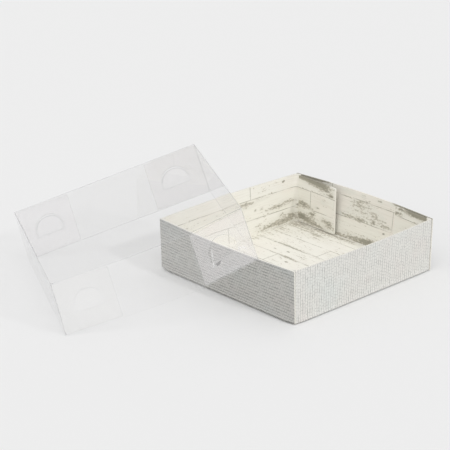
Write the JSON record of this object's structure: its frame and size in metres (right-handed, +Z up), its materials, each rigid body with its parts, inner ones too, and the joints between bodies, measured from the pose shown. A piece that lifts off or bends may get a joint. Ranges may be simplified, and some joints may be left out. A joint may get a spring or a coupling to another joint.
{
  "type": "macaron box",
  "caption": "Square folded tray of ribbed board with a printed inside and glued corner tabs, and a clear folded lid with half-moon locks, leaning on the tray.",
  "frame": {"origin": "centre of the tray's underside, on the table", "axes": "+Z up out of the tray, +Y to the tray's back, +X to its right; the lid leans on the left"},
  "size_m": [0.341, 0.2822, 0.0995],
  "materials": {
    "ribbed_board": "matt, grey-white ribbed outside, cream plank print inside",
    "glue": "dull",
    "clear_sheet": "clear, glossy"
  },
  "bodies": {
    "tray": {"base_bottom": "ribbed_board", "base_front_wall": "ribbed_board", "base_back_wall": "ribbed_board", "base_left_wall": "ribbed_board", "base_right_wall": "ribbed_board", "base_tab_front_left": "ribbed_board", "base_tab_front_right": "ribbed_board", "base_tab_back_left": "ribbed_board", "base_tab_back_right": "ribbed_board", "glue_front_left": "glue", "glue_front_right": "glue", "glue_back_left": "glue", "glue_back_right": "glue"},
    "lid": {"lid_top": "clear_sheet", "lid_left_wall": "clear_sheet", "lid_right_wall": "clear_sheet", "lid_tab_front_left": "clear_sheet", "lid_tab_front_right": "clear_sheet", "lid_tab_back_left": "clear_sheet", "lid_tab_back_right": "clear_sheet"},
    "lid_front_flap": {"lid_front_wall": "clear_sheet"},
    "lid_back_flap": {"lid_back_wall": "clear_sheet"},
    "tongue_front_left": {"lock_front_left": "clear_sheet"},
    "tongue_front_right": {"lock_front_right": "clear_sheet"},
    "tongue_back_left": {"lock_back_left": "clear_sheet"},
    "tongue_back_right": {"lock_back_right": "clear_sheet"}
  },
  "joints": [
    {"name": "lid_lift", "type": "slide", "parent": "tray", "child": "lid", "axis": [0, 0, 1], "range_m": [0, 0.12]},
    {"name": "front_wall_fold", "type": "hinge", "parent": "lid", "child": "lid_front_flap", "pos_m": [-0.17889, -0.00077, 0.07426], "axis": [-0.8447, 0.4529, -0.2853], "range_deg": [0, 90]},
    {"name": "back_wall_fold", "type": "hinge", "parent": "lid", "child": "lid_back_flap", "pos_m": [-0.09558, 0.1546, 0.07426], "axis": [0.8447, -0.4529, 0.2853], "range_deg": [0, 90]},
    {"name": "tongue_front_left_bend", "type": "hinge", "parent": "lid_front_flap", "child": "tongue_front_left", "pos_m": [-0.22244, 0.02258, 0.02543], "axis": [-0.8447, 0.4529, -0.2853], "range_deg": [-7, 20], "stiffness_Nm_per_rad": 0.002},
    {"name": "tongue_front_right_bend", "type": "hinge", "parent": "lid_front_flap", "child": "tongue_front_right", "pos_m": [-0.11889, -0.03295, 0.06041], "axis": [-0.8447, 0.4529, -0.2853], "range_deg": [-7, 20], "stiffness_Nm_per_rad": 0.002},
    {"name": "tongue_back_left_bend", "type": "hinge", "parent": "lid_back_flap", "child": "tongue_back_left", "pos_m": [-0.13913, 0.17796, 0.02543], "axis": [0.8447, -0.4529, 0.2853], "range_deg": [-7, 20], "stiffness_Nm_per_rad": 0.002},
    {"name": "tongue_back_right_bend", "type": "hinge", "parent": "lid_back_flap", "child": "tongue_back_right", "pos_m": [-0.03558, 0.12243, 0.06041], "axis": [0.8447, -0.4529, 0.2853], "range_deg": [-7, 20], "stiffness_Nm_per_rad": 0.002}
  ]
}
